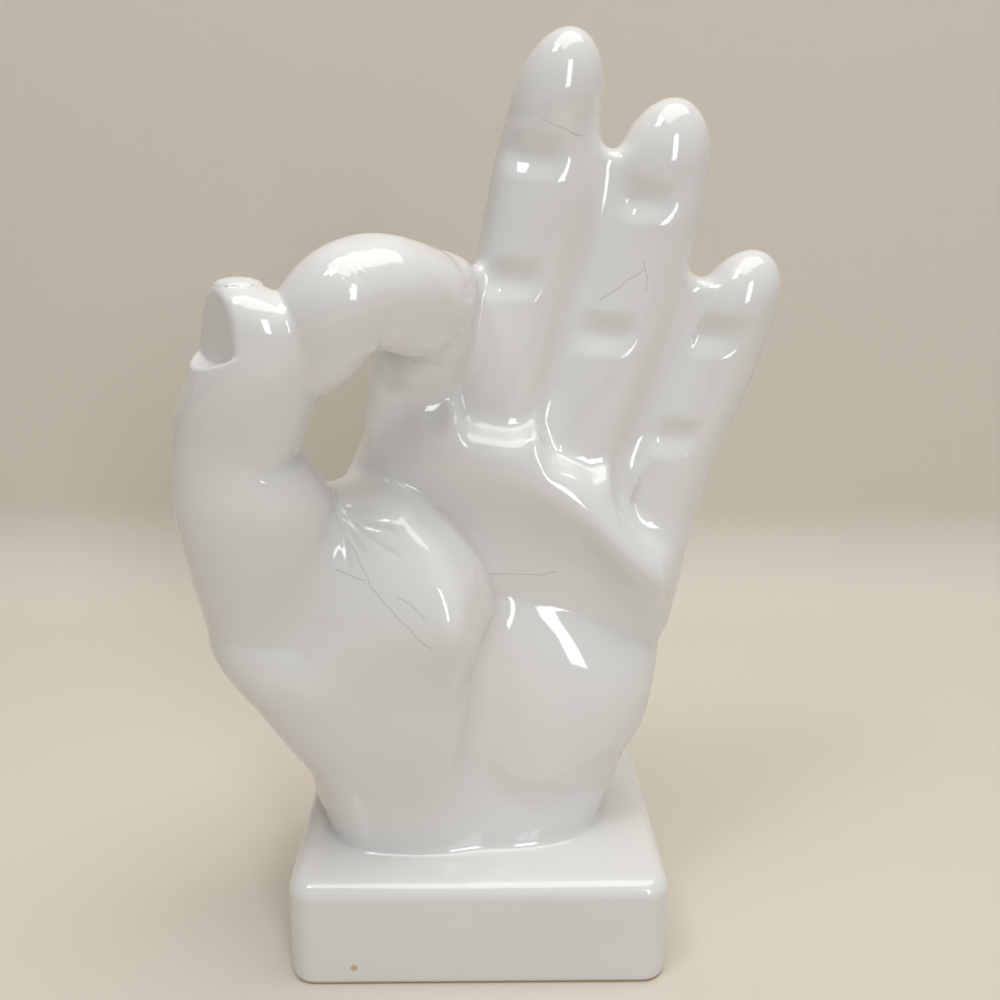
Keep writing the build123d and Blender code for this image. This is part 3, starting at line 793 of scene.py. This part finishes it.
def makeGlaze(look):
    made = bpy.data.materials.new("whiteGlaze")
    made.use_nodes = True
    tree = made.node_tree
    shader = tree.nodes["Principled BSDF"]
    shader.inputs["IOR"].default_value = look["ior"]
    at = addNode(tree, "TexCoord")["Object"]
    up = addNode(tree, "SeparateXYZ", {0: at})["Z"]
    tone = blend(tree, noise(tree, at, look["clouds"], 1.0), look["white"], look["cloudy"])
    # painted shade: hollows and creases are greyed where the surface bends inwards
    hollow = addNode(tree, "NewGeometry")["Pointiness"]
    creaseShade = maths(tree, "MULTIPLY", between(tree, hollow, *look["creaseShadeBends"]), look["creaseShadeShare"])
    tone = blend(tree, creaseShade, tone, look["creaseShade"])

    sway = noise(tree, at, look["crackSway"], 1.0, "Color")
    sway = vectors(tree, "SUBTRACT", sway, (0.5, 0.5, 0.5))[0]
    wander = look["crackWander"] * mm * 2
    sway = addNode(tree, "VectorMath", {0: sway, "Scale": wander}, operation="SCALE")[0]
    spot = vectors(tree, "ADD", at, sway)[0]
    spot = vectors(tree, "MULTIPLY", spot, (1, 0, 1))[0]
    cracks = between(tree, crackDistance(tree, spot, look["cracks"]), 0.0, look["crackWidth"] * mm)
    facing = addNode(tree, "SeparateXYZ", {0: addNode(tree, "NewGeometry")["Normal"]})["Y"]
    cracks = maths(tree, "MULTIPLY", cracks, between(tree, facing, *look["crackFacing"]))
    cracks = maths(tree, "MULTIPLY", cracks, look["crackShare"])
    tone = blend(tree, cracks, tone, look["crack"])

    spots = addNode(tree, "TexVoronoi", {"Vector": at, "Scale": 1 / (look["speckEvery"] * mm)})
    size = look["speckSize"] / look["speckEvery"] / 2
    dot = between(tree, spots["Distance"], size * look["speckEdge"], size)
    chance = addNode(tree, "SeparateXYZ", {0: spots["Color"]})["X"]
    specks = maths(tree, "MULTIPLY", dot, between(tree, chance, *look["speckChance"]))
    tone = blend(tree, specks, tone, look["speck"])

    place, radius = look["chip"]
    gap = vectors(tree, "DISTANCE", at, tuple(c * mm for c in place))["Value"]
    chip = between(tree, gap, radius * mm * look["chipEdge"], radius * mm)
    footLow, footHigh = (look["foot"] * mm * share for share in look["footEdge"])
    bare = maths(tree, "MAXIMUM", between(tree, up, footLow, footHigh), chip)
    tone = blend(tree, bare, tone, look["bareClay"])
    tree.links.new(tone, shader.inputs["Base Color"])
    rough = {"Value": bare, "To Min": look["gloss"], "To Max": look["bareRough"]}
    tree.links.new(addNode(tree, "MapRange", rough)["Result"], shader.inputs["Roughness"])
    waves = noise(tree, at, look["waviness"], 2.0)
    height = {"Height": waves, "Distance": look["waveHeight"] * mm, "Strength": 1.0}
    tree.links.new(addNode(tree, "Bump", height)["Normal"], shader.inputs["Normal"])
    return made


glaze = makeGlaze(glazeLook)
for piece in pieces:
    piece.data.materials.append(glaze)
say("glaze mixed")

# floor, camera and light

sweep = {  # metres; the floor turns up behind the hand in one soft bend
    "front": -2.5, "bend": 0.21, "radius": 0.05, "steps": 12, "back": 0.26, "top": 1.6, "half": 2.0,
    "paper": "#DBD3C7", "rough": 0.9,
}
outline = [(sweep["front"], 0.0), (sweep["bend"], 0.0)]
for step in range(1, sweep["steps"] + 1):
    turn, radius = math.radians(90 * step / sweep["steps"]), sweep["radius"]
    outline.append((sweep["bend"] + radius * math.sin(turn), radius - radius * math.cos(turn)))
outline.append((sweep["back"], sweep["top"]))
rows = [(side, y, z) for y, z in outline for side in (-sweep["half"], sweep["half"])]
strips = [(2 * i, 2 * i + 1, 2 * i + 3, 2 * i + 2) for i in range(len(outline) - 1)]  # they face the hand
floorMesh = bpy.data.meshes.new("floor")
floorMesh.from_pydata(rows, [], strips)
floorMesh.polygons.foreach_set("use_smooth", [True] * len(floorMesh.polygons))
floor = bpy.data.objects.new("floor", floorMesh)
bpy.context.scene.collection.objects.link(floor)

# Matt paper sweep, uncoated. It gives the eye a plain pale ground, and is clear when seen from behind.
floorPaint = bpy.data.materials.new("paleFloor")
floorPaint.use_nodes = True
paper = floorPaint.node_tree
matt = paper.nodes["Principled BSDF"]
matt.inputs["Base Color"].default_value = colour(sweep["paper"])
matt.inputs["Roughness"].default_value = sweep["rough"]
clear = addNode(paper, "BsdfTransparent")[0]
behind = addNode(paper, "NewGeometry")["Backfacing"]
shown = addNode(paper, "MixShader", {0: behind, 1: matt.outputs[0], 2: clear})[0]
paper.links.new(shown, paper.nodes["Material Output"].inputs["Surface"])
floorMesh.materials.append(floorPaint)

cameraPlace = {  # metres and degrees; focal in pixels of a frame that is 1000 wide
    "place": (-0.0014, -0.2552, 0.200), "down": 15.95, "right": 1.47, "roll": 0.66, "focal": 963.0,
    "frame": 1000, "sensor": 36, "nearest": 0.01,
}


def setCamera(c):
    down, right, roll = (math.radians(c[k]) for k in ("down", "right", "roll"))
    forward = Vector((math.sin(right) * math.cos(down), math.cos(right) * math.cos(down), -math.sin(down)))
    side = Vector((math.cos(right), -math.sin(right), 0))
    up = side.cross(forward)
    sideways = side * math.cos(roll) + up * math.sin(roll)
    upward = up * math.cos(roll) - side * math.sin(roll)
    data = bpy.data.cameras.new("camera")
    data.sensor_width = c["sensor"]
    data.lens = c["sensor"] * c["focal"] / c["frame"]
    data.clip_start = c["nearest"]
    camera = bpy.data.objects.new("camera", data)
    bpy.context.scene.collection.objects.link(camera)
    turn = np.array([sideways, upward, -forward]).T
    camera.matrix_world = Matrix.Translation(Vector(c["place"])) @ Matrix(turn.tolist()).to_4x4()
    bpy.context.scene.camera = camera


setCamera(cameraPlace)


def panel(name, place, target, width, height, power, tint="#FFFFFF"):
    data = bpy.data.lights.new(name, "AREA")
    data.shape, data.size, data.size_y = "RECTANGLE", width, height
    data.energy = power
    data.color = colour(tint)[:3]
    lamp = bpy.data.objects.new(name, data)
    bpy.context.scene.collection.objects.link(lamp)
    lamp.location = place
    lamp.rotation_euler = (Vector(target) - Vector(place)).to_track_quat("-Z", "Y").to_euler()


studio = {  # sizes and places in metres
    "middle": (0, -0.02, 0.16), "air": "#F1F2F4", "light": 0.04, "seen": 0.5,
}


def lightFrom(name, right, high, size, radiance, tint="#FFFFFF", reach=1.3):
    # a soft panel seen from the hand this many degrees right of the viewer and this high
    across, up = math.radians(right), math.radians(high)
    hand = Vector(studio["middle"])
    way = Vector((math.sin(across) * math.cos(up), -math.cos(across) * math.cos(up), math.sin(up)))
    width, height = size
    panel(name, hand + way * reach, hand, width, height, radiance * math.pi * width * height, tint)


lightFrom("tallWindow", 20, 19, (0.26, 0.66), 8.5, "#F4F8FF")
lightFrom("highWindow", -45, 58, (0.30, 0.30), 8.5, "#F4F8FF")
lightFrom("ceiling", 40, 80, (1.6, 1.2), 3.4, "#FFFEFA", 1.5)
world = bpy.data.worlds.new("studio")
bpy.context.scene.world = world
world.use_nodes = True
air = world.node_tree
background = air.nodes["Background"]
background.inputs["Color"].default_value = colour(studio["air"])
path = addNode(air, "LightPath")
seen = maths(air, "MAXIMUM", path["Is Camera Ray"], path["Is Glossy Ray"])
seen = maths(air, "MAXIMUM", seen, path["Is Transmission Ray"])
strength = {"Value": seen, "To Min": studio["light"], "To Max": studio["seen"]}
air.links.new(addNode(air, "MapRange", strength)["Result"], background.inputs["Strength"])
bpy.context.scene.view_settings.view_transform = "Standard"
say("floor, camera and lamps placed")
